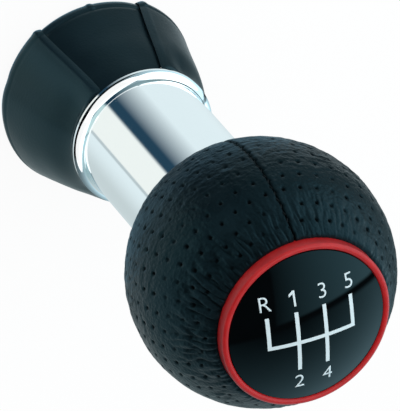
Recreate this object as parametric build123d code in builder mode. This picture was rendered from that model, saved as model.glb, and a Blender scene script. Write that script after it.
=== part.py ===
from build123d import *
from math import cos, radians, sin, sqrt
import os

# A gear shift knob: a leather covered ball with a shift pattern cap, on a chrome
# sleeve with a short sewn gaiter skirt below.  It slides onto a round gear lever.
# Millimetres.  +Z runs up the lever to the cap, +Y is the front, where the ball's
# seam is, and the origin is the centre of the skirt's rim.

# Ball
ball_diameter = 50.0
ball_height = 77.3
leather_thickness = 1.3
leather_edge_round = 0.6
glue_gap = 0.1
seam_width = 1.1
seam_depth = 0.55

# Trim ring and shift pattern cap
ring_diameter = 33.2
ring_width = 1.3
ring_round = 0.5
ring_proud = 1.85
ring_foot_width = 2.4
ring_foot_thickness = 1.0
cap_dome_rise = 2.8
cap_sunk = 0.25
cap_wall = 2.0
clip_count = 4
clip_arc = 34.0
clip_reach = 3.0
clip_thickness = 1.3
clip_barb = 0.7
clip_barb_height = 1.6
clip_lead = 0.8
clip_shoulder = 1.2
cap_well = 1.0

# Chrome sleeve
sleeve_diameter = 25.4
sleeve_wall = 1.2
sleeve_grip = 6.0
flange_overhang = 1.5
flange_height = 2.4
flange_lip = 0.5

# Lever bush
bore_diameter = 12.1
bush_ceiling = 6.0
tail_wall = 3.0
tail_length = 7.6
tail_slot_width = 1.6
tail_slot_length = 6.4
bush_head_overhang = 2.6
bush_head_thickness = 3.0
bush_barb = 0.35
bush_barb_height = 1.0
flute_count = 6
flute_width = 4.6
flute_depth = 2.2
flute_end = 2.0

# Locating pegs between the two halves of the core
peg_count = 4
peg_diameter = 3.0
peg_length = 3.0

# Retaining collar and lever clamp
collar_height = 3.2
collar_wall = 1.05
clamp_width = 5.2
clamp_thickness = 0.7
clamp_ear_width = 5.4
clamp_ear_height = 2.4
clamp_ear_round = 0.9

# Gaiter skirt
skirt_height = 22.1
skirt_flare = 5.1
panel_thickness = 0.9
front_panel_arc = 60.0
neck_bend = 0.35
hem_bend = 1.05
hem_return = 4.0
lap_arc = 9.0
lap_skive = 0.6
welt_arc = 5.0
welt_rise = 0.35

# Clearances
slide_gap = 0.05
seat_gap = 0.1
sew_arc = 0.4

# Radii that follow from the sizes above
ball_r = ball_diameter / 2
leather_r = ball_r - leather_thickness
core_r = leather_r - glue_gap
ring_r = ring_diameter / 2
ring_inner_r = ring_r - ring_width
ring_foot_r = ring_r - ring_foot_width
cap_r = ring_inner_r - seat_gap
cap_hole_r = ring_foot_r - clip_shoulder
clip_r = cap_hole_r - seat_gap
clip_inner_r = clip_r - clip_thickness
clip_barb_r = cap_hole_r + clip_barb
sleeve_r = sleeve_diameter / 2
sleeve_inner_r = sleeve_r - sleeve_wall
flange_r = sleeve_r + flange_overhang
bush_r = sleeve_inner_r - slide_gap
bush_head_r = bush_r + bush_head_overhang
bore_r = bore_diameter / 2
tail_r = bore_r + tail_wall
leather_top_r = ring_r + seat_gap
leather_foot_r = sleeve_r + seat_gap
peg_circle_r = (bush_head_r + seat_gap + core_r) / 2

# Heights on the ball, the cap and the ring
ball_mouth = ball_height - sqrt(ball_r**2 - sleeve_r**2)
core_foot = ball_height - sqrt(core_r**2 - leather_foot_r**2)
core_top = ball_height + sqrt(core_r**2 - leather_top_r**2)
ring_foot_top = core_top + ring_foot_thickness
ring_crown = ball_height + sqrt(ball_r**2 - ring_r**2) + ring_proud
cap_edge = ring_crown - cap_sunk
cap_apex = cap_edge + cap_dome_rise
cap_dome_r = (cap_r**2 + cap_dome_rise**2) / (2 * cap_dome_rise)
cap_ceiling = cap_apex - cap_dome_r + sqrt(cap_dome_r**2 - clip_inner_r**2) - cap_wall
clip_hook = core_top - clip_reach
clip_end = clip_hook - slide_gap - clip_barb_height
cap_well_floor = clip_end - cap_well

# Heights on the stem
sleeve_top = ball_mouth + sleeve_grip
head_bottom = ball_height - bush_head_thickness / 2
head_top = ball_height + bush_head_thickness / 2
neck_seat = skirt_height - panel_thickness
collar_bottom = neck_seat - collar_height
barb_bottom = collar_bottom - bush_barb_height
tail_bottom = barb_bottom - tail_length
bore_top = head_top - bush_ceiling
clamp_bottom = tail_bottom + (tail_length - clamp_width) / 2

# The skirt's section down the middle of the cloth: the neck turned in under the
# flange, the flared side and the hem turned in at the rim
neck_mid = skirt_height - panel_thickness / 2
hem_mid = panel_thickness / 2
lip_r = bush_r + seat_gap
collar_r = bush_r + slide_gap + collar_wall
panel_step = panel_thickness + slide_gap
side_neck_r = collar_r + seat_gap + panel_thickness / 2 + panel_step
side_rim_r = side_neck_r + skirt_flare
flare_slope = skirt_flare / (neck_mid - hem_mid)
neck_turn = neck_bend + panel_thickness / 2
hem_turn = hem_bend + panel_thickness / 2
side_panel_arc = 180 - front_panel_arc


def meridian(angle):
    """The plane through the axis whose x runs out from it at this angle from +X."""
    x_dir = (cos(radians(angle)), sin(radians(angle)), 0)
    z_dir = (sin(radians(angle)), -cos(radians(angle)), 0)
    return Plane(origin=(0, 0, 0), x_dir=x_dir, z_dir=z_dir)


def flare_point(height, shift):
    """The point of the flared side at this height, moved out by the shift."""
    return (side_neck_r + (neck_mid - height) * flare_slope + shift, height)


def panel_section(shift):
    """The corners of a whole panel's middle line, moved out by the shift."""
    return [
        (lip_r, neck_mid),
        (side_neck_r + shift, neck_mid),
        (side_rim_r + shift, hem_mid),
        (side_rim_r + shift - hem_return, hem_mid),
    ]


# Leather cover, one shell closed by a seam down its front
with BuildPart() as leather_cover:
    with BuildSketch(Plane.XZ):
        with Locations((0, ball_height)):
            Circle(ball_r)
            Circle(leather_r, mode=Mode.SUBTRACT)
        with Locations((0, ball_height + ball_r)):
            Rectangle(2 * leather_top_r, ball_diameter, mode=Mode.SUBTRACT)
        with Locations((0, ball_height - ball_r)):
            Rectangle(2 * leather_foot_r, ball_diameter, mode=Mode.SUBTRACT)
        with Locations((-ball_r, ball_height)):
            Rectangle(ball_diameter, 2 * ball_diameter, mode=Mode.SUBTRACT)
    revolve(axis=Axis.Z)
    mouths = leather_cover.edges().filter_by(GeomType.CIRCLE).sort_by(Axis.Z)
    fillet([mouths[0], mouths[-1]], radius=min(leather_edge_round, 0.45 * leather_thickness))
    with BuildSketch(Plane.XZ):
        with BuildLine():
            Polyline(
                (-seam_width, ball_height - ball_r - seam_depth),
                (seam_width, ball_height - ball_r - seam_depth),
                (0, ball_height - ball_r + seam_depth),
                close=True,
            )
        make_face()
    revolve(axis=Axis((0, 0, ball_height), (1, 0, 0)), revolution_arc=180, mode=Mode.SUBTRACT)
leather_cover.part.label = "leather_cover"

# Upper half of the moulded core, with the cap's well and its clip groove
with BuildPart() as core_upper:
    with BuildSketch(Plane.XZ):
        with BuildLine():
            rim = (core_r, ball_height)
            crown = (leather_top_r, core_top)
            RadiusArc(rim, crown, -core_r)
            Polyline(
                crown,
                (cap_hole_r, core_top),
                (cap_hole_r, clip_hook),
                (clip_barb_r + seat_gap, clip_hook),
                (clip_barb_r + seat_gap, cap_well_floor),
                (0, cap_well_floor),
                (0, head_top + seat_gap),
                (bush_head_r + seat_gap, head_top + seat_gap),
                (bush_head_r + seat_gap, ball_height),
                rim,
            )
        make_face()
    revolve(axis=Axis.Z)
    with BuildSketch(Plane.XY.offset(ball_height)):
        with PolarLocations(peg_circle_r, peg_count):
            Circle(peg_diameter / 2)
    extrude(amount=-peg_length)
core_upper.part.label = "core_upper"

# Lower half of the core, stepped for the sleeve's end, the bush and its head
with BuildPart() as core_lower:
    with BuildSketch(Plane.XZ):
        with BuildLine():
            rim = (core_r, ball_height)
            foot = (leather_foot_r, core_foot)
            RadiusArc(rim, foot, core_r)
            Polyline(
                foot,
                (leather_foot_r, sleeve_top + seat_gap),
                (bush_r + slide_gap, sleeve_top + seat_gap),
                (bush_r + slide_gap, head_bottom),
                (bush_head_r + seat_gap, head_bottom),
                (bush_head_r + seat_gap, ball_height),
                rim,
            )
        make_face()
    revolve(axis=Axis.Z)
    with BuildSketch(Plane.XY.offset(ball_height)):
        with PolarLocations(peg_circle_r, peg_count):
            Circle(peg_diameter / 2 + slide_gap)
    extrude(amount=-peg_length - seat_gap, mode=Mode.SUBTRACT)
core_lower.part.label = "core_lower"

# Trim ring, a rounded band on a foot that the cap holds down
with BuildPart() as trim_ring:
    with BuildSketch(Plane.XZ):
        with BuildLine():
            outer = (ring_r, ring_crown - ring_round)
            inner = (ring_inner_r, ring_crown - ring_round)
            ThreePointArc(outer, ((ring_r + ring_inner_r) / 2, ring_crown), inner)
            Polyline(
                inner,
                (ring_inner_r, ring_foot_top),
                (ring_foot_r, ring_foot_top),
                (ring_foot_r, core_top),
                (ring_r, core_top),
                outer,
            )
        make_face()
    revolve(axis=Axis.Z)
trim_ring.part.label = "trim_ring"

# Shift pattern cap, a shallow dome hollowed below, with snap clips into the core
with BuildPart() as shift_pattern_cap:
    with BuildSketch(Plane.XZ):
        with BuildLine():
            edge = (cap_r, cap_edge)
            apex = (0, cap_apex)
            RadiusArc(edge, apex, -cap_dome_r)
            Polyline(
                apex,
                (0, cap_ceiling),
                (clip_inner_r, cap_ceiling),
                (clip_inner_r, ring_foot_top),
                (cap_r, ring_foot_top),
                edge,
            )
        make_face()
    revolve(axis=Axis.Z)
    for clip in range(clip_count):
        start = clip * 360 / clip_count - clip_arc / 2
        with BuildSketch(meridian(start)):
            with BuildLine():
                Polyline(
                    (clip_inner_r, ring_foot_top),
                    (clip_inner_r, clip_end),
                    (clip_r - clip_lead, clip_end),
                    (clip_barb_r, clip_hook - slide_gap - clip_lead),
                    (clip_barb_r, clip_hook - slide_gap),
                    (clip_r, clip_hook - slide_gap),
                    (clip_r, ring_foot_top),
                    close=True,
                )
            make_face()
        revolve(axis=Axis.Z, revolution_arc=clip_arc)
shift_pattern_cap.part.label = "shift_pattern_cap"

# Chrome sleeve, a plain tube that sweeps out to a thin flange at its foot
with BuildPart() as chrome_sleeve:
    with BuildSketch(Plane.XZ):
        with BuildLine():
            cove_top = (sleeve_r, skirt_height + flange_height)
            cove_foot = (flange_r, skirt_height + flange_lip)
            TangentArc(cove_top, cove_foot, tangent=(0, -1))
            Polyline(
                cove_foot,
                (flange_r, skirt_height),
                (sleeve_inner_r, skirt_height),
                (sleeve_inner_r, sleeve_top),
                (sleeve_r, sleeve_top),
                cove_top,
            )
        make_face()
    revolve(axis=Axis.Z)
chrome_sleeve.part.label = "chrome_sleeve"

# Lever bush, headed in the core, fluted in the sleeve and split at its lower end
with BuildPart() as lever_bush:
    with BuildSketch(Plane.XZ):
        with BuildLine():
            Polyline(
                (bore_r, tail_bottom),
                (tail_r, tail_bottom),
                (tail_r, barb_bottom),
                (bush_r - bush_barb, barb_bottom),
                (bush_r + bush_barb, collar_bottom - slide_gap),
                (bush_r, collar_bottom - slide_gap),
                (bush_r, head_bottom),
                (bush_head_r, head_bottom),
                (bush_head_r, head_top),
                (0, head_top),
                (0, bore_top),
                (bore_r, bore_top),
                close=True,
            )
        make_face()
    revolve(axis=Axis.Z)
    with BuildSketch(Plane.XY.offset(skirt_height + flute_end)):
        with PolarLocations(bush_r, flute_count):
            Rectangle(2 * flute_depth, flute_width)
    extrude(amount=sleeve_top - skirt_height - 2 * flute_end, mode=Mode.SUBTRACT)
    with BuildSketch(Plane.XY.offset(tail_bottom)):
        Rectangle(3 * tail_r, tail_slot_width)
        Rectangle(tail_slot_width, 3 * tail_r)
    extrude(amount=tail_slot_length, mode=Mode.SUBTRACT)
lever_bush.part.label = "lever_bush"

# Retaining collar, pushed up behind the bush's barb to hold the gaiter's neck
with BuildPart() as retaining_collar:
    with BuildSketch(Plane.XZ):
        with BuildLine():
            Polyline(
                (bush_r + slide_gap, collar_bottom),
                (collar_r, collar_bottom),
                (collar_r, neck_seat - neck_bend),
                (collar_r - neck_bend, neck_seat),
                (bush_r + slide_gap, neck_seat),
                close=True,
            )
        make_face()
    revolve(axis=Axis.Z)
retaining_collar.part.label = "retaining_collar"

# Lever clamp, a steel band with one pinched ear, round the bush's split end
with BuildPart() as lever_clamp:
    clamp_inner_r = tail_r + slide_gap
    clamp_outer_r = clamp_inner_r + clamp_thickness
    with BuildSketch(Plane.XY.offset(clamp_bottom)):
        Circle(clamp_outer_r)
        with Locations((0, -clamp_outer_r)):
            RectangleRounded(clamp_ear_width, 2 * clamp_ear_height, clamp_ear_round)
            Rectangle(
                clamp_ear_width - 2 * clamp_thickness,
                2 * (clamp_ear_height - clamp_thickness),
                mode=Mode.SUBTRACT,
            )
        Circle(clamp_inner_r, mode=Mode.SUBTRACT)
    extrude(amount=clamp_width)
lever_clamp.part.label = "lever_clamp"


def set_in_panel(label, middle):
    """The front or rear panel, with skived edges that run in under the side panels."""
    seen_arc = front_panel_arc - 2 * sew_arc
    tucked_arc = front_panel_arc + 2 * lap_arc
    with BuildPart() as panel:
        with BuildSketch(meridian(middle - seen_arc / 2)):
            with BuildLine():
                FilletPolyline(*panel_section(-panel_step), radius=(neck_turn, hem_turn))
            trace(line_width=panel_thickness)
        revolve(axis=Axis.Z, revolution_arc=seen_arc)
        with BuildSketch(meridian(middle - tucked_arc / 2)):
            with BuildLine():
                Line(
                    flare_point(neck_mid - 2 * neck_turn, -panel_step),
                    flare_point(hem_mid + 2 * hem_turn, -panel_step),
                )
            trace(line_width=lap_skive)
        revolve(axis=Axis.Z, revolution_arc=tucked_arc)
    panel.part.label = label
    return panel


def lapped_panel(label, middle):
    """A side panel, with a welt along each edge where it laps over its neighbour."""
    first_edge = middle - side_panel_arc / 2
    with BuildPart() as panel:
        with BuildSketch(meridian(first_edge)):
            with BuildLine():
                FilletPolyline(*panel_section(0), radius=(neck_turn, hem_turn))
            trace(line_width=panel_thickness)
        revolve(axis=Axis.Z, revolution_arc=side_panel_arc)
        for edge in (first_edge, first_edge + side_panel_arc - welt_arc):
            with BuildSketch(meridian(edge)):
                with BuildLine():
                    FilletPolyline(
                        flare_point(neck_mid - 2 * neck_turn, welt_rise),
                        *panel_section(welt_rise)[2:],
                        radius=(hem_turn,),
                    )
                trace(line_width=panel_thickness)
            revolve(axis=Axis.Z, revolution_arc=welt_arc)
    panel.part.label = label
    return panel


gaiter_front_panel = set_in_panel("gaiter_front_panel", 90)
gaiter_rear_panel = set_in_panel("gaiter_rear_panel", 270)
gaiter_right_panel = lapped_panel("gaiter_right_panel", 0)
gaiter_left_panel = lapped_panel("gaiter_left_panel", 180)

pieces = [
    leather_cover,
    core_upper,
    core_lower,
    trim_ring,
    shift_pattern_cap,
    chrome_sleeve,
    lever_bush,
    retaining_collar,
    lever_clamp,
    gaiter_front_panel,
    gaiter_rear_panel,
    gaiter_right_panel,
    gaiter_left_panel,
]
os.makedirs("parts", exist_ok=True)
for piece in pieces:
    export_step(piece.part, f"parts/{piece.part.label}.step")
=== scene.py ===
import math

import bmesh
import bpy
import numpy as np
from mathutils import Matrix, Vector, noise
from mathutils.kdtree import KDTree


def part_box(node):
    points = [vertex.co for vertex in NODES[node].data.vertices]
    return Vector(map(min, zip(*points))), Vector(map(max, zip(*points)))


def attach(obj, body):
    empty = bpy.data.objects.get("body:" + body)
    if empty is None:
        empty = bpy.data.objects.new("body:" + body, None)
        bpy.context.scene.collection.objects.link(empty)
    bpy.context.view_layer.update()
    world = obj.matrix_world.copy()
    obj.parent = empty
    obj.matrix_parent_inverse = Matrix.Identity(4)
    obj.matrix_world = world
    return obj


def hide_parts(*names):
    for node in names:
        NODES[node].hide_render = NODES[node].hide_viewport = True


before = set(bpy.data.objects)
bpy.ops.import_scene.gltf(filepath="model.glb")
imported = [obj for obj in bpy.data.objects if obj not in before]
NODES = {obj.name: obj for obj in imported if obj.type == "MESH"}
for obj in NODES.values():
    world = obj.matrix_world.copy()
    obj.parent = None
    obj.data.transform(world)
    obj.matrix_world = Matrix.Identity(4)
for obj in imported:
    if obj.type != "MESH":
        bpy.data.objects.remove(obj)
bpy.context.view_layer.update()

bl_info = {
    "name": "Gear shift knob",
    "version": (1, 0, 0),
    "blender": (4, 5, 0),
    "location": "3D View > Sidebar > Shift Knob",
    "description": "Dresses the shift knob's solids with leather, print, chrome and light",
    "category": "Object",
}

MM = 0.001

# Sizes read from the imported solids
LEATHER_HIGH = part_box("leather_cover")[1]
SLEEVE_LOW, SLEEVE_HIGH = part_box("chrome_sleeve")
CAP_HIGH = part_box("shift_pattern_cap")[1]
RING_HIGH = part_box("trim_ring")[1]
BALL_RADIUS = LEATHER_HIGH.x
CAP_RADIUS = CAP_HIGH.x

# Sizes that no box shows, as the part's source has them
LEATHER_WALL = 1.3 * MM
GLUE_GAP = 0.1 * MM
SLEEVE_RADIUS = 12.7 * MM
SLEEVE_GRIP = 6.0 * MM
FOOT_MOUTH = 12.8 * MM
CAP_RISE = 2.8 * MM

# What follows from both: the leather's mouths, the ball's middle and the cap's dome
TOP_MOUTH = RING_HIGH.x + GLUE_GAP
TOP_RISE = math.degrees(math.acos(TOP_MOUTH / BALL_RADIUS))
FOOT_RISE = -math.degrees(math.acos(FOOT_MOUTH / BALL_RADIUS))
BALL_HEIGHT = SLEEVE_HIGH.z - SLEEVE_GRIP + math.sqrt(BALL_RADIUS**2 - SLEEVE_RADIUS**2)
CAP_DOME = (CAP_RADIUS**2 + CAP_RISE**2) / (2 * CAP_RISE)


def length(name, description, default):
    """A size in metres that the sidebar shows."""
    return bpy.props.FloatProperty(
        name=name, description=description, default=default, precision=5, unit="LENGTH"
    )


def angle(name, description, degrees):
    """An angle that the sidebar shows in degrees."""
    return bpy.props.FloatProperty(
        name=name, description=description, default=math.radians(degrees), subtype="ANGLE"
    )


def colour(name, description, default):
    """A linear colour that the sidebar shows as a swatch."""
    return bpy.props.FloatVectorProperty(
        name=name, description=description, default=default, size=3, min=0, max=1, subtype="COLOR"
    )


class KnobSizes(bpy.types.PropertyGroup):
    """Sizes of the details that the solids leave to this script."""

    hole_width: length("Perforation", "Width of a hole in the ball's leather", 0.92 * MM)
    hole_depth: length("Perforation depth", "How far a hole dips below the leather", 0.34 * MM)
    hole_step: angle("Perforation step", "Angle from one hole to the next round the ball", 8.18)
    row_step: angle("Row step", "Angle from one row of holes to the next", 7.85)
    gather_height: length("Gathers", "Height of the gathers below the trim ring", 0.9 * MM)
    crease_height: length("Creases", "Height of the creases towards the sleeve", 0.26 * MM)
    stitch_step: length("Stitch step", "Distance from one seam stitch to the next", 1.5 * MM)
    thread_width: length("Thread", "Thickness of the seam's thread", 0.26 * MM)
    gate_step: length("Gate columns", "Distance between the shift pattern's columns", 5.5 * MM)
    gate_line: length("Gate line", "Width of the shift pattern's lines", 0.74 * MM)
    numeral_height: length("Numerals", "Height of the shift pattern's numerals", 3.1 * MM)
    print_height: length("Print height", "Thickness of the printed ink", 0.03 * MM)
    print_reversed: bpy.props.BoolProperty(
        name="Reversed print",
        description="Print the numerals mirrored, from right to left",
        default=False,
    )
    panel_thickness: length("Gaiter leather", "Thickness of the gaiter's panels", 0.9 * MM)
    welt_height: length("Welt", "Height of the welt along a side panel's edge", 0.06 * MM)
    hem_height: length("Hem", "How far the rolled hem stands out", 0.06 * MM)
    skirt_lean: length("Skirt lean", "How far the skirt's rim hangs off the axis", 1.0 * MM)


class KnobColours(bpy.types.PropertyGroup):
    """Colours of the knob's finishes."""

    ball_leather: colour("Ball leather", "Perforated leather of the ball", (0.0032, 0.0062, 0.0078))
    seam_thread: colour("Seam thread", "Thread of the ball's seam", (0.004, 0.0055, 0.0065))
    trim_red: colour("Trim ring", "Moulded ring round the cap", (0.43, 0.011, 0.012))
    cap_black: colour("Cap", "Polished cap under the print", (0.0012, 0.0018, 0.0022))
    print_white: colour("Print", "Ink of the shift pattern", (0.62, 0.70, 0.72))
    chrome: colour("Chrome", "Plated sleeve", (0.93, 0.95, 0.95))
    gaiter_leather: colour("Gaiter leather", "Smooth leather of the skirt", (0.0040, 0.0092, 0.0126))
    moulding: colour("Moulding", "Black plastic of the hidden fittings", (0.014, 0.015, 0.017))
    steel: colour("Steel", "Clamp on the bush's split end", (0.56, 0.57, 0.58))


class Value:
    """A node's output that can be used in Python expressions."""

    def __init__(self, graph, socket):
        self.graph = graph
        self.socket = socket

    def math(self, operation, first, second):
        made = self.graph.node("ShaderNodeMath", {"operation": operation}, {0: first, 1: second})
        return made[0]

    def __add__(self, other):
        return self.math("ADD", self, other)

    def __radd__(self, other):
        return self.math("ADD", other, self)

    def __sub__(self, other):
        return self.math("SUBTRACT", self, other)

    def __rsub__(self, other):
        return self.math("SUBTRACT", other, self)

    def __mul__(self, other):
        return self.math("MULTIPLY", self, other)

    def __rmul__(self, other):
        return self.math("MULTIPLY", other, self)

    def __truediv__(self, other):
        return self.math("DIVIDE", self, other)

    def __rtruediv__(self, other):
        return self.math("DIVIDE", other, self)

    def above(self, other):
        return self.math("MAXIMUM", self, other)

    def below(self, other):
        return self.math("MINIMUM", self, other)


class Made:
    """A node just added, whose outputs are read by name or number."""

    def __init__(self, graph, node):
        self.graph = graph
        self.node = node

    def __getitem__(self, key):
        return Value(self.graph, self.node.outputs[key])


class Graph:
    """The node tree of a material or of the world."""

    def __init__(self, owner):
        owner.use_nodes = True
        self.tree = owner.node_tree
        self.tree.nodes.clear()

    def node(self, kind, settings=None, sockets=None):
        """Adds one node: its settings first, then the values or links of its sockets."""
        node = self.tree.nodes.new(kind)
        for name, setting in (settings or {}).items():
            setattr(node, name, setting)
        for name, given in (sockets or {}).items():
            if isinstance(given, Value):
                self.tree.links.new(given.socket, node.inputs[name])
            else:
                node.inputs[name].default_value = given
        return Made(self, node)

    def ease(self, value, low, high):
        """0 below low, 1 above high and a smooth step between them."""
        made = self.node(
            "ShaderNodeMapRange",
            {"interpolation_type": "SMOOTHSTEP"},
            {"Value": value, "From Min": low, "From Max": high},
        )
        return made["Result"]

    def blend(self, share, first, second):
        """A colour between two colours."""
        made = self.node("ShaderNodeMix", {"data_type": "RGBA"}, {0: share, 6: first, 7: second})
        return made[2]

    def heading(self, y, x):
        """The angle of a direction about the axis."""
        return self.node("ShaderNodeMath", {"operation": "ARCTAN2"}, {0: y, 1: x})[0]

    def scaled(self, shade, level):
        """A colour times one number."""
        made = self.node(
            "ShaderNodeVectorMath", {"operation": "SCALE"}, {0: shade, "Scale": level}
        )
        return made[0]

    def filtered(self, shade, tint):
        """A colour times another colour."""
        made = self.node("ShaderNodeVectorMath", {"operation": "MULTIPLY"}, {0: shade, 1: tint})
        return made[0]


def rgba(shade, level=1.0):
    """A colour property as a socket's four numbers."""
    return (*(part * level for part in shade), 1)


class Finish(Graph):
    """A material under way, on the piece's own coordinates."""

    def __init__(self, name):
        self.material = bpy.data.materials.new(name)
        super().__init__(self.material)
        self.place = self.node("ShaderNodeTexCoord")["Object"]

    def attribute(self, name):
        """The number that the piece's points hold under this name."""
        return self.node("ShaderNodeAttribute", {"attribute_name": name})["Fac"]

    def speckle(self, scale, detail, place=None):
        """Noise of this many features to the metre."""
        made = self.node(
            "ShaderNodeTexNoise",
            {"noise_dimensions": "3D"},
            {"Vector": place or self.place, "Scale": scale, "Detail": detail, "Roughness": 0.5},
        )
        return made["Fac"]

    def pebbles(self, scale, smoothness):
        """Rounded cells, this many to the metre."""
        made = self.node(
            "ShaderNodeTexVoronoi",
            {"feature": "SMOOTH_F1"},
            {"Vector": self.place, "Scale": scale, "Smoothness": smoothness},
        )
        return made["Distance"]

    def bump(self, strength, distance, height):
        """The normal of a surface with this relief."""
        made = self.node(
            "ShaderNodeBump", None, {"Strength": strength, "Distance": distance, "Height": height}
        )
        return made["Normal"]

    def levels(self, share, shade, low, high):
        """A shade between two levels of itself."""
        return self.blend(share, rgba(shade, low), rgba(shade, high))

    def surface(self, sockets):
        """A Principled surface with these sockets."""
        return self.node("ShaderNodeBsdfPrincipled", None, sockets)[0]

    def close(self, surface):
        """Wires the surface to the output and gives back the material."""
        self.node("ShaderNodeOutputMaterial", None, {"Surface": surface})
        return self.material


def ball_leather_finish(colours):
    """Perforated black leather with a fine pebble grain and rougher folds; painted shade darkens the
    holes, where the black core also shows, the folds, the seam and the front towards the foot.
    """
    finish = Finish("ball_leather_black")
    holes_and_painted_shade = finish.attribute("holes_and_painted_shade")
    dull_and_shaded = finish.attribute("dull_and_shaded")
    pebble = finish.pebbles(1350.0, 0.6)
    fine = finish.speckle(2600.0, 3.0)
    patch = finish.speckle(160.0, 2.0)
    shade = finish.levels(finish.ease(patch, 0.35, 0.7), colours.ball_leather, 0.8, 1.25)
    # Painted shade: the folds and the seam darkened to a third of the leather's colour
    shade = finish.blend(dull_and_shaded, shade, rgba(colours.ball_leather, 0.35))
    leather = finish.surface(
        {
            "Base Color": shade,
            "Roughness": 0.31 + patch * 0.14 + dull_and_shaded * 0.25 - pebble * 0.06,
            "Normal": finish.bump(0.75, 0.14 * MM, pebble * 0.8 + fine * 0.5),
            "Specular IOR Level": 0.32,
            "Specular Tint": (0.36, 0.84, 1.0, 1),
        }
    )
    # A near-black surface for the holes, which show the black core and painted shade, and for
    # painted shade in the folds, the seam and the foot
    hole_and_shade_black = finish.surface(
        {"Base Color": (0.0006, 0.001, 0.0013, 1), "Roughness": 0.9, "Specular IOR Level": 0.05}
    )
    leather_and_painted_shade = finish.node("ShaderNodeMixShader", None, {0: holes_and_painted_shade, 1: leather, 2: hole_and_shade_black})[0]
    return finish.close(leather_and_painted_shade)


def gaiter_leather_finish(colours):
    """Smooth coated leather with a faint grain, soft patches of tone, and painted sheen that
    lightens the hem, the welts and a stripe on the left panel.
    """
    finish = Finish("gaiter_leather_black")
    painted_sheen = finish.attribute("painted_sheen")
    grain = finish.pebbles(2100.0, 0.8)
    patch = finish.speckle(110.0, 3.0)
    fine = finish.speckle(3200.0, 2.0)
    shade = finish.levels(finish.ease(patch, 0.3, 0.75), colours.gaiter_leather, 0.85, 1.2)
    # Painted sheen: lighter on the hem, the welts and a stripe on the left panel
    shade = finish.blend(painted_sheen, shade, rgba(colours.gaiter_leather, 2.6))
    leather = finish.surface(
        {
            "Base Color": shade,
            "Roughness": 0.26 + patch * 0.1 - painted_sheen * 0.04,
            "Normal": finish.bump(0.22, 0.1 * MM, grain * 0.7 + fine * 0.3),
            "Specular IOR Level": 0.42,
            "Specular Tint": (0.58, 0.93, 1.0, 1),
        }
    )
    return finish.close(leather)


def thread_finish(colours):
    """Twisted black thread."""
    finish = Finish("seam_thread_black")
    twist = finish.speckle(6000.0, 2.0)
    thread = finish.surface(
        {
            "Base Color": finish.levels(twist, colours.seam_thread, 0.7, 1.6),
            "Roughness": 0.6 + twist * 0.2,
            "Normal": finish.bump(0.5, 0.05 * MM, twist),
        }
    )
    return finish.close(thread)


def red_finish(colours):
    """Satin red moulding with a hint of flow."""
    finish = Finish("trim_red_satin")
    flow = finish.speckle(420.0, 3.0)
    fine = finish.speckle(5200.0, 2.0)
    red = finish.surface(
        {
            "Base Color": finish.levels(finish.ease(flow, 0.3, 0.7), colours.trim_red, 0.9, 1.06),
            "Roughness": 0.33 + flow * 0.1,
            "Normal": finish.bump(0.06, 0.04 * MM, fine),
        }
    )
    return finish.close(red)


def cap_finish(colours):
    """Polished black plastic with the faintest polishing haze."""
    finish = Finish("cap_black_polished")
    haze = finish.speckle(240.0, 4.0)
    black = finish.surface(
        {
            "Base Color": finish.levels(haze, colours.cap_black, 0.8, 1.3),
            "Roughness": 0.015 + haze * 0.02,
            "Specular IOR Level": 0.5,
            "Specular Tint": (0.55, 0.93, 1.0, 1),
        }
    )
    return finish.close(black)


def ink_finish(colours):
    """Pale printed ink under the cap's lacquer."""
    finish = Finish("print_pale_ink")
    mottle = finish.speckle(1500.0, 3.0)
    ink = finish.surface(
        {
            "Base Color": finish.levels(mottle, colours.print_white, 0.95, 1.04),
            "Roughness": 0.25 + mottle * 0.1,
        }
    )
    return finish.close(ink)


def chrome_finish(colours):
    """Bright plating with a faint polishing haze."""
    finish = Finish("sleeve_chrome_bright")
    haze = finish.speckle(300.0, 4.0)
    chrome = finish.surface(
        {
            "Base Color": finish.levels(haze, colours.chrome, 0.985, 1.0),
            "Metallic": 1.0,
            "Roughness": 0.05 + haze * 0.03,
        }
    )
    return finish.close(chrome)


def moulding_finish(colours):
    """Black moulded plastic with a fine spark texture."""
    finish = Finish("moulding_black")
    spark = finish.speckle(2400.0, 3.0)
    flow = finish.speckle(200.0, 2.0)
    plastic = finish.surface(
        {
            "Base Color": finish.levels(flow, colours.moulding, 0.8, 1.3),
            "Roughness": 0.45 + spark * 0.15,
            "Normal": finish.bump(0.25, 0.06 * MM, spark),
        }
    )
    return finish.close(plastic)


def steel_finish(colours):
    """Rolled steel strip, brushed along the band."""
    finish = Finish("clamp_steel_brushed")
    drawn = finish.node(
        "ShaderNodeMapping",
        {"vector_type": "POINT"},
        {"Vector": finish.place, "Scale": (0.1, 0.1, 1)},
    )[0]
    brush = finish.speckle(5200.0, 3.0, drawn)
    stain = finish.speckle(300.0, 3.0)
    steel = finish.surface(
        {
            "Base Color": finish.levels(stain, colours.steel, 0.8, 1.05),
            "Metallic": 1.0,
            "Roughness": 0.26 + brush * 0.16,
            "Normal": finish.bump(0.2, 0.04 * MM, brush),
        }
    )
    return finish.close(steel)


def start():
    """Leaves nothing selected and Blender in object mode."""
    if bpy.context.object and bpy.context.object.mode != "OBJECT":
        leave()
    bpy.ops.object.select_all(action="DESELECT")


def apply_place():
    """Puts the active object's place into its mesh."""
    bpy.ops.object.transform_apply(location=True, rotation=True, scale=True)


def settle(name):
    """Names the active object and puts its place into its mesh."""
    piece = bpy.context.object
    piece.name = name
    piece.data.name = name
    apply_place()
    return piece


def edit():
    """Goes into edit mode with everything selected."""
    bpy.ops.object.mode_set(mode="EDIT")
    bpy.ops.mesh.select_mode(type="VERT")
    bpy.ops.mesh.select_all(action="SELECT")


def leave():
    """Goes back to object mode."""
    bpy.ops.object.mode_set(mode="OBJECT")


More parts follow.
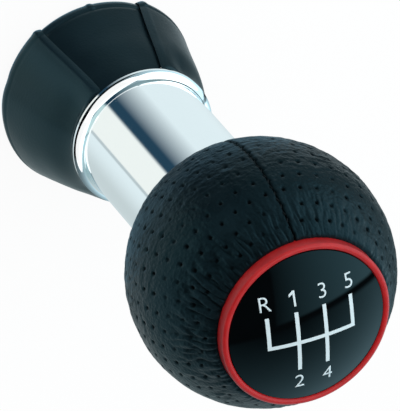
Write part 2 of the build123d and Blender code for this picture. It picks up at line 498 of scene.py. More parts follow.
def turn_out():
    """Turns all faces outwards, from object mode or edit mode, and smooths the shading."""
    edit()
    bpy.ops.mesh.normals_make_consistent(inside=False)
    leave()
    bpy.ops.object.shade_smooth()


def join(pieces, name):
    """Joins these objects into one piece."""
    start()
    for piece in pieces:
        piece.select_set(True)
    bpy.context.view_layer.objects.active = pieces[0]
    bpy.ops.object.join()
    return settle(name)


def thicken(piece, thickness):
    """Gives a flat piece its thickness, half of it to either side."""
    bpy.context.view_layer.objects.active = piece
    wall = piece.modifiers.new("wall", "SOLIDIFY")
    wall.thickness = thickness
    wall.offset = 0
    bpy.ops.object.modifier_apply(modifier=wall.name)


def pick_edges(piece, wanted):
    """Selects, in edit mode, the edges for which wanted(edge) is true."""
    shape = bmesh.from_edit_mesh(piece.data)
    bpy.ops.mesh.select_all(action="DESELECT")
    for edge in shape.edges:
        if wanted(edge):
            edge.select_set(True)
    shape.select_flush(True)
    bmesh.update_edit_mesh(piece.data)


def points_of(piece):
    """The piece's points in millimetres, one row each."""
    flat = np.empty(len(piece.data.vertices) * 3)
    piece.data.vertices.foreach_get("co", flat)
    return flat.reshape(-1, 3) / MM


def put_points(piece, points):
    """Moves the piece's points to these places in millimetres."""
    piece.data.vertices.foreach_set("co", (points * MM).ravel())
    piece.data.update()


def paint(piece, name, values):
    """Keeps one number for each point, for the finish to read."""
    layer = piece.data.attributes.new(name, "FLOAT", "POINT")
    layer.data.foreach_set("value", np.ascontiguousarray(values, dtype=np.float32))


def hand_over(piece, finish, nodes=()):
    """Gives the piece its finish, its body and the nodes it stands for."""
    piece.data.materials.clear()
    piece.data.materials.append(finish)
    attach(piece, "root")
    if nodes:
        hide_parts(*nodes)


def dress(node, finish):
    """Puts a finish on a CAD node's own slots."""
    for index in range(len(NODES[node].data.materials)):
        NODES[node].data.materials[index] = finish


def ease(values, low, high):
    """0 below low, 1 above high and a smooth step between them."""
    share = np.clip((values - low) / (high - low), 0, 1)
    return share * share * (3 - 2 * share)


def ridge(values, width):
    """A rounded ridge of height 1 about zero."""
    return np.exp(-((values / width) ** 2))


def noise_at(points):
    """Blender's gradient noise at each point, one unit to a cell."""
    return np.array([noise.noise(point) for point in points.tolist()])


def streaks(around, count, along):
    """Noise on a tube: this many cells to the radian, and one to each unit along it."""
    return noise_at(np.column_stack((np.cos(around) * count, np.sin(around) * count, along)))


def hole_centres(sizes):
    """The perforations: rows that climb round the ball, set out from the front seam."""
    ball = BALL_RADIUS / MM
    step = math.degrees(sizes.hole_step)
    row = math.degrees(sizes.row_step)
    climb, slant, shaken = 10.4, 0.33, 0.5
    lowest, highest, clear_of_seam = -52, 43.5, 1.7
    centres = []
    for side in (-1, 1):
        for level in range(-10, 9):
            for count in range(int(round(180 / step))):
                place = (count + 0.5) * step
                turn = place
                for _ in range(12):
                    swing = 1 - math.cos(math.radians(turn))
                    height = level * row + climb * (swing + swing * swing)
                    turn = place - slant * math.cos(math.radians(turn) / 2) ** 2 * height
                    turn = min(max(turn, 0), 180)
                spot = Vector((count * 3.7, level * 5.3, side * 2.1))
                height += noise.noise(spot) * shaken
                turn += noise.noise(spot + Vector((31.4, 0, 0))) * shaken
                flat = ball * math.cos(math.radians(height))
                if lowest < height < highest and flat * math.radians(turn) >= clear_of_seam:
                    around = math.radians(90 + side * turn)
                    up = ball * math.sin(math.radians(height))
                    centres.append((flat * math.cos(around), flat * math.sin(around), up))
    return centres


class KNOB_OT_leather_cover(bpy.types.Operator):
    """Model the ball's perforated leather with its seam, gathers and creases"""

    bl_idname = "knob.leather_cover"
    bl_label = "Leather cover"

    # The leather's height between its mouths, in ball radii, and its points' pull to the seam
    mouth_to_mouth = 1.8
    crowding = 0.45

    # Heights in millimetres that the sidebar doesn't list, and the most that anything stands out
    lump_height = 0.07
    pebble_height = 0.03
    slot_depth = 0.5
    lip_height = 0.05
    pit_depth = 0.25
    pucker_depth = 0.12
    most_lift = 0.2
    sunk = 0.04

    def execute(self, context):
        sizes = context.scene.knob_sizes
        ball = BALL_RADIUS
        inner = self.open_ball("ball_leather_lining", ball - LEATHER_WALL, 8)
        piece = self.open_ball("ball_leather_cover", ball, 60)
        inner.select_set(True)
        bpy.ops.object.join()
        edit()
        for upper in (True, False):
            pick_edges(
                piece,
                lambda edge: edge.is_boundary and (edge.verts[0].co.z > BALL_HEIGHT) == upper,
            )
            bpy.ops.mesh.bridge_edge_loops()
        turn_out()
        self.shape_leather(piece, sizes)
        hand_over(
            piece,
            ball_leather_finish(context.scene.knob_colours),
            ["leather_cover"],
        )
        return {"FINISHED"}

    @staticmethod
    def open_ball(name, radius, rings):
        """A fine sphere, cut open for the ring above and the sleeve below."""
        top = BALL_HEIGHT + math.sqrt(radius**2 - TOP_MOUTH**2)
        foot = BALL_HEIGHT - math.sqrt(radius**2 - FOOT_MOUTH**2)
        start()
        bpy.ops.mesh.primitive_uv_sphere_add(
            segments=140, ring_count=rings, radius=radius, location=(0, 0, BALL_HEIGHT)
        )
        shell = settle(name)
        edit()
        bpy.ops.mesh.bisect(plane_co=(0, 0, top), plane_no=(0, 0, 1), clear_outer=True)
        bpy.ops.mesh.select_all(action="SELECT")
        bpy.ops.mesh.bisect(plane_co=(0, 0, foot), plane_no=(0, 0, 1), clear_inner=True)
        bpy.ops.mesh.select_all(action="SELECT")
        bpy.ops.mesh.subdivide(number_cuts=3)
        leave()
        return shell

    def shape_leather(self, piece, sizes):
        """Crowds the points towards the seam, then presses in every detail."""
        ball = BALL_RADIUS / MM
        wall = LEATHER_WALL / MM
        points = points_of(piece)
        points[:, 2] -= BALL_HEIGHT / MM
        far = np.linalg.norm(points, axis=1)
        outer = far > ball - 0.5 * wall
        points *= (np.where(outer, ball, ball - wall) / far)[:, None]
        flat = np.hypot(points[:, 0], points[:, 1])
        turn = np.arctan2(points[:, 1], points[:, 0]) - math.pi / 2
        turn = (turn + math.pi) % (2 * math.pi) - math.pi
        turn = turn - self.crowding * np.sin(turn)
        around = turn + math.pi / 2
        points[:, 0] = flat * np.cos(around)
        points[:, 1] = flat * np.sin(around)

        skin = points[outer]
        turn = turn[outer]
        around = around[outer]
        degrees = np.degrees(turn)
        rise = np.degrees(np.arcsin(np.clip(skin[:, 2] / ball, -1, 1)))
        from_seam = turn * flat[outer]
        along = np.radians(rise) * ball
        to_ring = np.radians(TOP_RISE - rise) * ball
        to_sleeve = np.radians(rise - FOOT_RISE) * ball

        # Slow unevenness, and a bend that keeps the folds from running straight
        lumps = noise_at(skin / 7.5 + 3.1)
        bend = noise_at(skin / 4.2 + 11.7)
        patch = noise_at(skin / 6.0 + 29.3)

        # Gathers that run out from the trim ring
        fan = around + 0.035 * bend
        coarse = streaks(fan, 15, along / 5.5 + 4.0)
        close = streaks(fan, 27, along / 4.0 + 9.0)
        drawn = 1.1 * np.abs(coarse) + 0.6 * np.abs(close) - 0.5
        bunched = 0.42 + 0.95 * ridge(degrees - 72, 50)
        bunched = bunched * (0.75 + 0.5 * np.clip(patch + 0.3, 0, 1))
        gathers = drawn * ease(rise, 19, 40) * bunched

        # Creases that lie across the ball, towards the sleeve
        across = streaks(around, 5.2, (along + 0.8 * bend) / 0.85)
        second = streaks(around, 8.0, (along + 1.1 * bend) / 0.6 + 7.0)
        folded = 1.0 * np.abs(across) + 0.7 * np.abs(second) - 0.4
        low = (1 - ease(rise, -4, 26)) * (0.45 + 0.7 * np.clip(patch + 0.4, 0, 1))
        creases = folded * low

        # Pebbles all over, where neither runs
        pebbles = noise_at(skin / 0.95) + 0.6 * noise_at(skin / 0.6 + 17.0)

        # The seam: a narrow slot between two rolled edges, pinched at each stitch
        beat = along / (sizes.stitch_step / MM)
        stitch = np.floor(beat + 0.5)
        side = np.where(stitch % 2 == 0, 1.0, -1.0)
        on_stitch = np.cos(math.pi * (beat - stitch)) ** 6
        lips = self.lip_height * ridge(np.abs(from_seam) - 0.8, 0.45)
        slot = -self.slot_depth * ridge(from_seam, 0.16) + lips
        pits = -self.pit_depth * on_stitch * ridge(from_seam - 0.3 * side, 0.22)
        tuck = on_stitch * np.exp(-np.abs(from_seam) / 1.3) * (1 - ridge(from_seam, 0.25))
        pucker = -self.pucker_depth * tuck * (0.5 + 0.5 * (1 - ease(rise, -10, 30)))

        # Perforations
        centres = hole_centres(sizes)
        tree = KDTree(len(centres))
        for index, centre in enumerate(centres):
            tree.insert(centre, index)
        tree.balance()
        found = [tree.find(point) for point in skin.tolist()]
        gap = np.array([each[2] for each in found])
        strong = 0.9 + 0.9 * noise_at(np.array(centres) / 8.0 + 41.0)
        strong = np.clip(strong, 0.45, 1.0)[[each[1] for each in found]]
        strong = strong * (1 - 0.45 * (1 - ease(rise, -6, 22)) * ridge(degrees, 55))
        half = sizes.hole_width / MM / 2
        dip = -sizes.hole_depth / MM * (1 - ease(gap, 0.35 * half, 1.15 * half))
        dip = strong * (dip - 0.05 * ridge(gap, 2.4 * half))

        # Both mouths roll in under the ring and the sleeve
        roll = 0.3 * ridge(to_ring - 2.2, 2.0) - 0.95 * np.clip(1 - to_ring / 1.2, 0, 1) ** 2
        roll = roll - 0.5 * np.clip(1 - to_sleeve / 1.1, 0, 1) ** 2

        quiet = 1 - 0.75 * ridge(from_seam, 0.9)
        lift = (
            self.lump_height * lumps
            + sizes.gather_height / MM * gathers * quiet * ease(to_ring, 0.0, 1.3)
            + sizes.crease_height / MM * creases * quiet
            + self.pebble_height * pebbles * quiet
            + slot
            + pits
            + pucker
            + dip
            + roll
        )
        lift = np.minimum(lift, self.most_lift * np.tanh(lift / self.most_lift)) - self.sunk
        points[outer] = skin * (1 + lift / ball)[:, None]
        points[:, 2] += BALL_HEIGHT / MM
        put_points(piece, points)

        # Painted shade, near black: in the holes, where the black core also shows, in the fold
        # valleys, towards the ball's foot at the front, in the seam's slot and in the stitch holes
        holes_and_painted_shade = np.zeros(len(points))
        fold_valley_shade = ease(-gathers, 0.2, 0.55) + ease(-creases, 0.16, 0.42)
        holes_and_painted_shade[outer] = np.maximum.reduce(
            (
                strong * (1 - ease(gap, 0.62 * half, 1.1 * half)),
                0.6 * np.clip(fold_valley_shade, 0, 1),
                # painted shade, darker towards the foot at the front
                0.3 * (1 - ease(rise, -6, 26)) * ridge(degrees - 8, 70),
                # painted shade in the seam's slot and in the stitch holes
                0.9 * ridge(from_seam, 0.14),
                on_stitch * ridge(from_seam - 0.28 * side, 0.2),
            )
        )
        paint(piece, "holes_and_painted_shade", holes_and_painted_shade)

        # Where it is rougher and darkened with painted shade: the folds and the seam
        dull_and_shaded_mask = np.zeros(len(points))
        folds = np.clip(-gathers * 1.6, 0, 1) + np.clip(-creases * 1.4, 0, 1)
        dull_and_shaded_mask[outer] = np.clip(folds + ridge(from_seam, 0.5), 0, 1)
        paint(piece, "dull_and_shaded", dull_and_shaded_mask)


class KNOB_OT_seam_stitches(bpy.types.Operator):
    """Lay the seam's stitches, slanted across the slot down the ball's front"""

    bl_idname = "knob.seam_stitches"
    bl_label = "Seam stitches"

    # A stitch's length in steps, its slant and its depth, and the seam's bare ends in degrees
    share = 0.62
    slant = math.radians(24)
    depth = 0.42 * MM
    bare = 2

    def execute(self, context):
        sizes = context.scene.knob_sizes
        thick = sizes.thread_width
        long = self.share * sizes.stitch_step
        start()
        bpy.ops.mesh.primitive_cylinder_add(
            vertices=10, radius=thick / 2, depth=long, location=(0, 0, 0)
        )
        stitch = settle("seam_stitch")
        edit()
        bpy.ops.mesh.subdivide(number_cuts=1)
        pick_edges(stitch, lambda edge: all(abs(v.co.z) > 0.45 * long for v in edge.verts))
        bpy.ops.mesh.bevel(offset=0.3 * thick, segments=3, affect="EDGES")
        leave()
        ball = BALL_RADIUS
        first = math.ceil(math.radians(FOOT_RISE + self.bare) * ball / sizes.stitch_step)
        last = math.floor(math.radians(TOP_RISE - self.bare) * ball / sizes.stitch_step)
        copies = []
        for count in range(first, last + 1):
            rise = count * sizes.stitch_step / ball
            slant = self.slant if count % 2 == 0 else -self.slant
            out = Vector((0, math.cos(rise), math.sin(rise)))
            up = Vector((0, -math.sin(rise), math.cos(rise)))
            along = up * math.cos(slant) + Vector((1, 0, 0)) * math.sin(slant)
            place = out * (ball - self.depth) + Vector((0, 0, BALL_HEIGHT))
            turned = Matrix((out.cross(along), out, along)).transposed().to_4x4()
            start()
            stitch.select_set(True)
            context.view_layer.objects.active = stitch
            bpy.ops.object.duplicate()
            copy = context.object
            copy.matrix_world = Matrix.Translation(place) @ turned
            copies.append(copy)
        bpy.data.objects.remove(stitch)
        piece = join(copies, "ball_seam_thread")
        turn_out()
        hand_over(piece, thread_finish(context.scene.knob_colours))
        return {"FINISHED"}


class KNOB_OT_trim_and_cap(bpy.types.Operator):
    """Finish the red trim ring and the polished cap"""

    bl_idname = "knob.trim_and_cap"
    bl_label = "Trim ring and cap"

    def execute(self, context):
        colours = context.scene.knob_colours
        dress("trim_ring", red_finish(colours))
        dress("shift_pattern_cap", cap_finish(colours))
        return {"FINISHED"}


class KNOB_OT_shift_print(bpy.types.Operator):
    """Print the shift pattern's lines and numerals on the cap's dome"""

    bl_idname = "knob.shift_print"
    bl_label = "Shift pattern print"

    # The gate's cross bar and ends, and the numerals' distance from the ends
    bar = -1.5 * MM
    top = 4.9 * MM
    bottom = -7.6 * MM
    clear = 2.75 * MM

    # A capital's height in font sizes, and how much of a size its outline is thinned by
    capital = 0.73
    thinned = 0.006

    def execute(self, context):
        sizes = context.scene.knob_sizes
        ink = ink_finish(context.scene.knob_colours)
        half = sizes.gate_line / 2
        columns = [(index - 1.5) * sizes.gate_step for index in range(4)]
        start()
        strips = []
        for index, column in enumerate(columns):
            low = self.bottom if index in (1, 2) else self.bar - half
            strips.append(self.strip(column - half, column + half, low, self.top))
        for left, right in zip(columns, columns[1:]):
            strips.append(self.strip(left + half, right - half, self.bar - half, self.bar + half))
        gate = join(strips, "cap_print_gate")
        edit()
        bpy.ops.mesh.remove_doubles(threshold=0.01 * MM)
        leave()
        self.lay_on_dome(gate, sizes.print_height)
        hand_over(gate, ink)

        marks = []
        for name, column in zip("R135", columns):
            marks.append(self.numeral(name, column, self.top + self.clear, sizes))
        for name, column in zip("24", columns[1:3]):
            marks.append(self.numeral(name, column, self.bottom - self.clear, sizes))
        numerals = join(marks, "cap_print_numerals")
        if sizes.print_reversed:
            bpy.ops.transform.mirror(constraint_axis=(True, False, False), orient_type="GLOBAL")
            apply_place()
        edit()
        bpy.ops.mesh.remove_doubles(threshold=0.001 * MM)
        bpy.ops.mesh.dissolve_limited(angle_limit=0.02)
        bpy.ops.mesh.quads_convert_to_tris()
        bpy.ops.mesh.subdivide(number_cuts=1)
        leave()
        self.lay_on_dome(numerals, sizes.print_height)
        hand_over(numerals, ink)
        return {"FINISHED"}

    @staticmethod
    def strip(left, right, low, high):
        """A flat strip of print between these edges, cut fine enough to bend."""
        start()
        bpy.ops.mesh.primitive_plane_add(size=1, location=((left + right) / 2, (low + high) / 2, 0))
        bpy.ops.transform.resize(value=(right - left, high - low, 1))
        strip = settle("gate_strip")
        edit()
        bpy.ops.mesh.subdivide(number_cuts=15)
        leave()
        return strip

    @classmethod
    def numeral_one(cls, across, along, sizes):
        """A one with a slanted flag, as two patches that share an edge."""
        tall = sizes.numeral_height
        half = 0.062 * tall
        out, drop, thick = 0.25 * tall, 0.36 * tall, 0.2 * tall
        stem = cls.strip(across - half, across + half, along - tall / 2, along + tall / 2)
        start()
        bpy.ops.mesh.primitive_plane_add(size=1, location=(0, 0, 0))
        flag = settle("numeral_flag")
        left = across - half
        top = along + tall / 2
        corners = [
            (left - out, top - drop, 0),
            (left, top - thick, 0),
            (left - out, top - thick, 0),
            (left, top, 0),
        ]
        put_points(flag, np.array(corners) / MM)
        stem.select_set(True)
        bpy.ops.object.join()
        return bpy.context.object

    @classmethod
    def numeral(cls, text, across, along, sizes):
        """One numeral as a flat mesh, centred on its place."""
        if text == "1":
            return cls.numeral_one(across, along, sizes)
        start()
        bpy.ops.object.text_add(location=(0, 0, 0))
        letter = bpy.context.object
        letter.data.body = text
        letter.data.size = sizes.numeral_height / cls.capital
        letter.data.resolution_u = 8
        letter.data.offset = -cls.thinned * letter.data.size
        bpy.ops.object.convert(target="MESH")
        mark = bpy.context.object
        outline = np.array([vertex.co for vertex in mark.data.vertices])
        middle = (outline.min(0) + outline.max(0)) / 2
        mark.location = (across - middle[0], along - middle[1], 0)
        apply_place()
        return mark

    @staticmethod
    def lay_on_dome(piece, height):
        """Lays the flat print on the dome, a little sunk, and gives the ink its thickness."""
        sunk = 0.02
        points = points_of(piece)
        dome = CAP_DOME / MM
        middle = np.array((0, 0, CAP_HIGH.z / MM - dome))
        radius = np.hypot(points[:, 0], points[:, 1])
        points[:, 2] = middle[2] + np.sqrt(dome**2 - radius**2)
        away = points - middle
        away /= np.linalg.norm(away, axis=1)[:, None]
        put_points(piece, points + away * (height / MM - sunk))
        thicken(piece, 2 * height)


class KNOB_OT_chrome_sleeve(bpy.types.Operator):
    """Finish the plated sleeve"""

    bl_idname = "knob.chrome_sleeve"
    bl_label = "Chrome sleeve"

    def execute(self, context):
        dress("chrome_sleeve", chrome_finish(context.scene.knob_colours))
        return {"FINISHED"}


class KNOB_OT_gaiter(bpy.types.Operator):
    """Sew the gaiter skirt from two set-in panels and two lapped side panels"""

    bl_idname = "knob.gaiter"
    bl_label = "Gaiter skirt"

    # The middle line of a side panel, in millimetres, its bends, and how far the others sit inside
    rim = 0.45
    neck = SLEEVE_LOW.z / MM - rim
    corners = ((11.55, neck), (14.05, neck), (19.15, rim), (15.15, rim))
    bends = (0.8, 1.5)
    set_in = 0.95

    # Where the panels meet, in degrees: the front right seam swings as it falls
    front_right, front_right_swing, front_left = 67.0, -10.0, 121.5
    rear_left, rear_right = 240.0, 300.0

    # The gap at a seam and the lap under it, in degrees, and where the rim leans to
    seam_gap = 0.05
    lap = 8.5
    lean_way = math.radians(210)

    def execute(self, context):
        sizes = context.scene.knob_sizes
        leather = gaiter_leather_finish(context.scene.knob_colours)
        self.sew(sizes, leather, "front")
        self.sew(sizes, leather, "rear")
        self.sew(sizes, leather, "right")
        self.sew(sizes, leather, "left")
        return {"FINISHED"}

    def edges(self, side, fall):
        """The angles of a panel's two edges on its way down from the neck."""
        swung = self.front_right + self.front_right_swing * fall
        straight = 0 * fall
        return {
            "front": (swung, self.front_left + straight),
            "rear": (self.rear_left + straight, self.rear_right + straight),
            "right": (self.rear_right - 360 + straight, swung),
            "left": (self.front_left + straight, self.rear_left + straight),
        }[side]

    def section(self, shares, shift):
        """Places and outward directions along the panel's middle line, from neck to hem."""
        corners = [np.array(corner) for corner in self.corners]
        corners = [corners[0]] + [corner + (shift, 0) for corner in corners[1:]]
        runs = []
        begin = corners[0]
        for before, corner, after, radius in zip(corners, corners[1:], corners[2:], self.bends):
            ahead = (corner - before) / np.linalg.norm(corner - before)
            leave = (after - corner) / np.linalg.norm(after - corner)
            swing = math.acos(float(ahead @ leave))
            reach = radius * math.tan(swing / 2)
            enter = corner - ahead * reach
            runs.append((begin, ahead, np.linalg.norm(enter - begin), None))
            runs.append((enter, ahead, radius * swing, radius))
            begin = corner + leave * reach
        runs.append((begin, leave, np.linalg.norm(corners[-1] - begin), None))
        whole = sum(run[2] for run in runs)
        places = np.empty((len(shares), 2))
        headings = np.empty((len(shares), 2))
        walked = shares * whole
        passed = 0.0
        hair = 1e-9
        for begin, ahead, size, radius in runs:
            inside = (walked >= passed - hair) & (walked <= passed + size + hair)
            step = (walked[inside] - passed)[:, None]
            if radius is None:
                places[inside] = begin + ahead * step
                headings[inside] = ahead
            else:
                inward = np.array((ahead[1], -ahead[0]))
                cosine, sine = np.cos(step / radius), np.sin(step / radius)
                places[inside] = begin + radius * (ahead * sine + inward * (1 - cosine))
                headings[inside] = ahead * cosine + inward * sine
            passed += size
        outward = np.column_stack((-headings[:, 1], headings[:, 0]))
        return places, outward, whole

    def sew(self, sizes, leather, side):
        """Makes one panel from a flat grid: bent to the section, then given its details."""
        lapped = side in ("right", "left")
        start()
        columns = 190 if lapped else 130
        bpy.ops.mesh.primitive_grid_add(x_subdivisions=columns, y_subdivisions=96, size=1)
        piece = settle("gaiter_skirt_" + side)
        flat = points_of(piece) * MM + 0.5
        places, outward, whole = self.section(flat[:, 1], 0.0 if lapped else -self.set_in)
        fall = np.clip((self.neck - places[:, 1]) / (self.neck - self.rim), 0, 1)
        on_side = (outward[:, 0] > 0.5).astype(float)
        facing = np.clip(outward[:, 0], 0, 1)
        tuck = self.lap * ease(fall, 0.09, 0.16) * (1 - ease(fall, 0.84, 0.91)) * on_side
        tuck = tuck * (not lapped)
        first, last = self.edges(side, fall)
        first, last = first + self.seam_gap - tuck, last - self.seam_gap + tuck
        around = last - flat[:, 0] * (last - first)
        turn = np.radians(around)
        arc = np.radians(1) * places[:, 0]
        edge_gap = np.minimum((around - first) * arc, (last - around) * arc)

        # A little fullness, slow unevenness and the rolled hem, lightened with painted sheen
        spots = np.column_stack(
            (np.cos(turn) * places[:, 0], np.sin(turn) * places[:, 0], places[:, 1])
        )
        lift = 0.3 * np.sin(math.pi * fall) * on_side
        lift = lift + on_side * 0.1 * noise_at(spots / 6.5 + 5.0)
        in_hem = ease(-places[:, 1], -2.75, -2.3) * facing
        groove = ridge(places[:, 1] - 2.95, 0.3) * facing
        lift = lift + sizes.hem_height / MM * in_hem - (0.03 if lapped else 0.1) * groove
        painted_sheen = 0.4 * in_hem

        if lapped:
            # The welt along both edges, lightened with painted sheen, and the neck drawn in between
            # them
            on_welt = ridge(edge_gap - 0.9, 0.5) * facing * ease(fall, 0.05, 0.2)
            lift = lift + sizes.welt_height / MM * on_welt
            drawn_in = ease(edge_gap, 1.5, 5.5) * facing
            lift = lift - 0.75 * ridge(fall - 0.08, 0.2) * drawn_in
            lift = lift - 0.4 * np.clip(1 - edge_gap / 1.1, 0, 1) ** 2 * facing
            front_seam = np.where(np.sin(turn) > 0, 1.0, 0.4)
            lift = lift + 0.16 * front_seam * ridge(edge_gap - 0.8, 0.7) * in_hem
            painted_sheen = np.maximum(painted_sheen, 0.22 * on_welt)
        else:
            # The edges that lie hidden under the side panels
            hidden = np.where(tuck > 0.1, ease(tuck * arc - edge_gap, 0, 0.8), 0)
            lift = lift * (1 - hidden) - 0.14 * hidden

        # What only one panel has: a fuller rim, a fold, a stripe of painted sheen, a lump in the hem
        if side == "right":
            lift = lift + 0.45 * ease(fall, 0.35, 1.0) * ease(around, -5, 35) * facing
        elif side == "left":
            lift = lift + 0.35 * ease(fall, 0.4, 1.0) * (1 - ease(around, 125, 150)) * facing
            lift = lift - 0.16 * ridge((around - 157) * arc, 1.6) * facing
            painted_sheen = np.maximum(painted_sheen, 0.75 * ridge((around - 134) * arc, 3.2) * facing)
        elif side == "front":
            lift = lift + 0.55 * ease(fall, 0.5, 1.0) * facing * (1 - hidden)
            lift = lift + 0.25 * ridge((around - 89) * arc, 0.45) * in_hem

        reach = places[:, 0] + lift * outward[:, 0]
        height = places[:, 1] + lift * outward[:, 1]
        lean = sizes.skirt_lean / MM * ease(fall, 0.0, 1.0)
        points = np.column_stack(
            (
                reach * np.cos(turn) + lean * math.cos(self.lean_way),
                reach * np.sin(turn) + lean * math.sin(self.lean_way),
                np.maximum(height, self.rim),
            )
        )
        put_points(piece, points)
        paint(piece, "painted_sheen", painted_sheen)
        thicken(piece, sizes.panel_thickness)
        bpy.ops.object.shade_smooth_by_angle(angle=math.radians(50))
        hand_over(piece, leather, ["gaiter_" + side + "_panel"])
        width = float(np.radians((last - first).max()) * places[:, 0].max()) * MM
        cut = float((np.radians(last - first) * places[:, 0]).mean()) * whole * MM * MM
        whole * MM


class KNOB_OT_hidden_fittings(bpy.types.Operator):
    """Finish the mouldings and the clamp that show only from below"""

    bl_idname = "knob.hidden_fittings"
    bl_label = "Hidden fittings"

    def execute(self, context):
        colours = context.scene.knob_colours
        moulding = moulding_finish(colours)
        for node in ("core_upper", "core_lower", "lever_bush", "retaining_collar"):
            dress(node, moulding)
        dress("lever_clamp", steel_finish(colours))
        return {"FINISHED"}


class KNOB_OT_stage(bpy.types.Operator):
    """Set the floor, the light tent, the lamps and the camera"""

    bl_idname = "knob.stage"
    bl_label = "Stage"

    # The tones of the tent's wall, of its shaded and lit sides, its gap and its fold
    wall_pale = (0.78, 0.9, 0.94, 1)
    wall_shaded = (0.58, 0.67, 0.69, 1)
    wall_lit = (0.91, 0.96, 0.94, 1)
    gap_navy = (0.018, 0.055, 0.095, 1)
    fold_grey = (0.2, 0.25, 0.27, 1)

    # Tints of the tent's top, of the belt that the skirt mirrors and of the ground
    top_tint = (0.66, 0.94, 1.06)
    belt_tint = (0.76, 1.0, 1.05)
    ground_tint = (0.56, 0.86, 1.06)

    # The camera's distance, its aim off the ball's middle, and the photograph's scale and height
    distance = 1.5
    aim_across, aim_up = -11.15 * MM, 12.25 * MM
    pixels_per_mm = 5.47
    photo_height = 411
    sensor = 36

    def execute(self, context):
        scene = context.scene
        scene.view_settings.view_transform = "Standard"
        start()
        self.lay_floor()
        self.light_tent(scene)
        self.hang_lamps()
        self.light_flange()
        self.aim_camera(scene)
        return {"FINISHED"}

    @staticmethod
    def lay_floor():
        """A white floor that keeps a faint shadow and is clear from below."""
        bpy.ops.mesh.primitive_plane_add(size=6, location=(0, 0, 0))
        floor = settle("stage_floor")
        material = bpy.data.materials.new("stage_white")
        graph = Graph(material)
        seen = graph.node("ShaderNodeLightPath")["Is Camera Ray"]
        matt = graph.node("ShaderNodeBsdfDiffuse", None, {"Color": (0.9, 0.9, 0.9, 1)})[0]
        glow = graph.node(
            "ShaderNodeEmission", None, {"Color": (1, 1, 1, 1), "Strength": 1.0}
        )[0]
        under = graph.node("ShaderNodeNewGeometry")["Backfacing"]
        clear = graph.node("ShaderNodeBsdfTransparent")[0]
        white = graph.node("ShaderNodeMixShader", None, {0: seen * 0.94, 1: matt, 2: glow})[0]
        surface = graph.node("ShaderNodeMixShader", None, {0: under, 1: white, 2: clear})[0]
        graph.node("ShaderNodeOutputMaterial", None, {"Surface": surface})
        floor.data.materials.append(material)
        floor.visible_glossy = False

    @classmethod
    def tent_wall(cls, graph, x, y):
        """The tent round the sleeve: pale, shaded on one side, open in one navy gap."""
        place = graph.heading(y, x) / (2 * math.pi) + 0.5
        shaded = graph.ease(place, 0.02, 0.17) * (1 - graph.ease(place, 0.2, 0.5))
        wall = graph.blend(shaded, cls.wall_pale, cls.wall_shaded)
        lit = graph.ease(place, 0.852, 0.872)
        wall = graph.blend(lit, wall, cls.wall_lit)
        gap = ((place - 0.678) / 0.137).above(0.0).below(1.0) * (1 - lit)
        wall = graph.blend(gap, wall, cls.gap_navy)
        off = graph.heading(0 - y, 0 - x) - 0.044
        fold = 0.5 - 0.5 * graph.ease(off.above(0 - off), 0.02, 0.07)
        return graph.blend(fold, wall, cls.fold_grey)

    @classmethod
    def light_tent(cls, scene):
        """A white tent: a bright side panel, a backdrop and a dark opening for the lens."""
        world = bpy.data.worlds.new("light_tent")
        scene.world = world
        graph = Graph(world)
        way = graph.node("ShaderNodeTexCoord")["Generated"]
        parts = graph.node("ShaderNodeSeparateXYZ", None, {0: way})
        x, y, z = parts["X"], parts["Y"], parts["Z"]
        edge = y + 0.44 - 0.155 * x
        panel = graph.ease(edge, 0.0, 0.035) * graph.ease(x, 0.02, 0.05)
        panel = panel * (1.55 * x).above(0.0).below(1.25)
        backdrop = graph.ease(edge, -0.015, -0.06) * (1.15 * (0.9 - z)).above(0.0)
        backdrop = backdrop * (1 + 0.85 * x)
        glow = (0.9 * (0.5 - z)).above(0.0)
        upper = graph.scaled(cls.top_tint, panel.above(backdrop).above(glow))
        lower = cls.tent_wall(graph, x, y)
        right = x.above(0.0)
        belt = graph.scaled(graph.filtered(lower, cls.belt_tint), 0.56 - 0.28 * x - 0.14 * right)
        belted = graph.ease(z + 0.07 * right, -0.73, -0.62) * graph.ease(y, -0.95, -0.75)
        lower = graph.blend(belted, lower, belt)
        ground = graph.filtered(lower, cls.ground_tint)
        lower = graph.blend(graph.ease(z, -0.83, -0.88), lower, ground)
        raised = z + 0.19 * graph.ease(x, 0.5, 0.9)
        tone = graph.blend(graph.ease(raised, -0.16, 0.0), lower, upper)
        seen = graph.node("ShaderNodeLightPath")["Is Camera Ray"]
        tone = graph.blend(seen, tone, (1, 1, 1, 1))
        light = graph.node("ShaderNodeBackground", None, {"Color": tone, "Strength": 1.0})[0]
        graph.node("ShaderNodeOutputWorld", None, {"Surface": light})

    @staticmethod
    def disc(name, place, way, size, power):
        """A round area lamp that shines this way."""
        bpy.ops.object.light_add(type="AREA", location=place)
        lamp = bpy.context.object
        lamp.name = name
        lamp.data.shape = "DISK"
        lamp.data.size = size
        lamp.data.energy = power
        lamp.rotation_euler = way.to_track_quat("-Z", "Y").to_euler()
        return lamp

    @classmethod
    def hang_lamps(cls):
        """Two broad soft lamps that fill without a highlight of their own."""
        for name, place, size, power in (
            ("lamp_overhead", Vector((0.15, 0.1, 0.9)), 0.9, 6.4),
            ("lamp_front", Vector((-0.35, 0.75, 0.45)), 0.7, 2.2),
        ):
            way = Vector((0, 0, BALL_HEIGHT)) - place
            cls.disc(name, place, way, size, power).visible_glossy = False

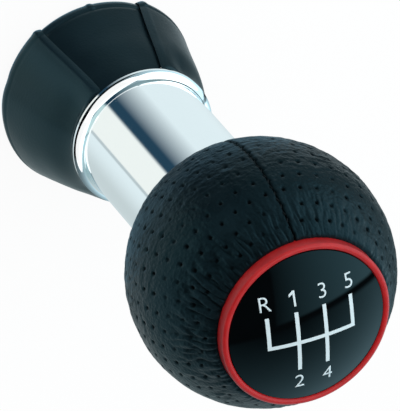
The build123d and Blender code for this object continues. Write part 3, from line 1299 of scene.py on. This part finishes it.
    @classmethod
    def light_flange(cls):
        """Three broad discs of light that only the plated sleeve mirrors."""
        only = bpy.data.collections.new("mirrored_by_the_sleeve")
        only.objects.link(NODES["chrome_sleeve"])
        for name, way, size in (
            ("disc_front", Vector((-0.35, 0.72, 0.6)), 1.4),
            ("disc_left", Vector((-0.9, -0.15, 0.4)), 1.3),
            ("disc_right", Vector((0.75, 0.5, 0.3)), 1.3),
        ):
            place = 0.8 * way.normalized() + Vector((0, 0, SLEEVE_LOW.z))
            lamp = cls.disc(name, place, -way, size, (math.pi * size / 2) ** 2)
            lamp.visible_camera = False
            lamp.light_linking.receiver_collection = only

    @classmethod
    def aim_camera(cls, scene):
        """Looks down on the cap from the front left, with the photograph's tilt."""
        back = Vector((-0.3035, 0.526, 0.7945)).normalized()
        across = Vector((0.916, -0.078, 0.394))
        across = (across - across.dot(back) * back).normalized()
        up = back.cross(across)
        aim = Vector((0, 0, BALL_HEIGHT)) + cls.aim_across * across + cls.aim_up * up
        bpy.ops.object.camera_add(location=aim + back * cls.distance)
        camera = bpy.context.object
        camera.name = "photo_camera"
        camera.rotation_euler = Matrix((across, up, back)).transposed().to_euler()
        camera.data.sensor_width = cls.sensor
        camera.data.lens = cls.pixels_per_mm * cls.distance / MM * cls.sensor / cls.photo_height
        camera.data.clip_start = 0.05
        camera.data.clip_end = 20
        scene.camera = camera


class KNOB_PT_panel(bpy.types.Panel):
    """Lists the knob's sizes, colours and pieces in the sidebar"""

    bl_idname = "KNOB_PT_panel"
    bl_label = "Shift Knob"
    bl_space_type = "VIEW_3D"
    bl_region_type = "UI"
    bl_category = "Shift Knob"

    def draw(self, context):
        layout = self.layout
        for group in (context.scene.knob_sizes, context.scene.knob_colours):
            box = layout.box()
            for name in group.__annotations__:
                box.prop(group, name)
        for operator in OPERATORS:
            layout.operator(operator.bl_idname)


OPERATORS = (
    KNOB_OT_leather_cover,
    KNOB_OT_seam_stitches,
    KNOB_OT_trim_and_cap,
    KNOB_OT_shift_print,
    KNOB_OT_chrome_sleeve,
    KNOB_OT_gaiter,
    KNOB_OT_hidden_fittings,
    KNOB_OT_stage,
)
CLASSES = (KnobSizes, KnobColours, *OPERATORS, KNOB_PT_panel)


def register():
    for each in CLASSES:
        bpy.utils.register_class(each)
    bpy.types.Scene.knob_sizes = bpy.props.PointerProperty(type=KnobSizes)
    bpy.types.Scene.knob_colours = bpy.props.PointerProperty(type=KnobColours)


def unregister():
    del bpy.types.Scene.knob_colours
    del bpy.types.Scene.knob_sizes
    for each in reversed(CLASSES):
        bpy.utils.unregister_class(each)


def main():
    register()
    bpy.ops.knob.leather_cover()
    bpy.ops.knob.seam_stitches()
    bpy.ops.knob.trim_and_cap()
    bpy.ops.knob.shift_print()
    bpy.ops.knob.chrome_sleeve()
    bpy.ops.knob.gaiter()
    bpy.ops.knob.hidden_fittings()
    bpy.ops.knob.stage()


if __name__ == "__main__":
    main()
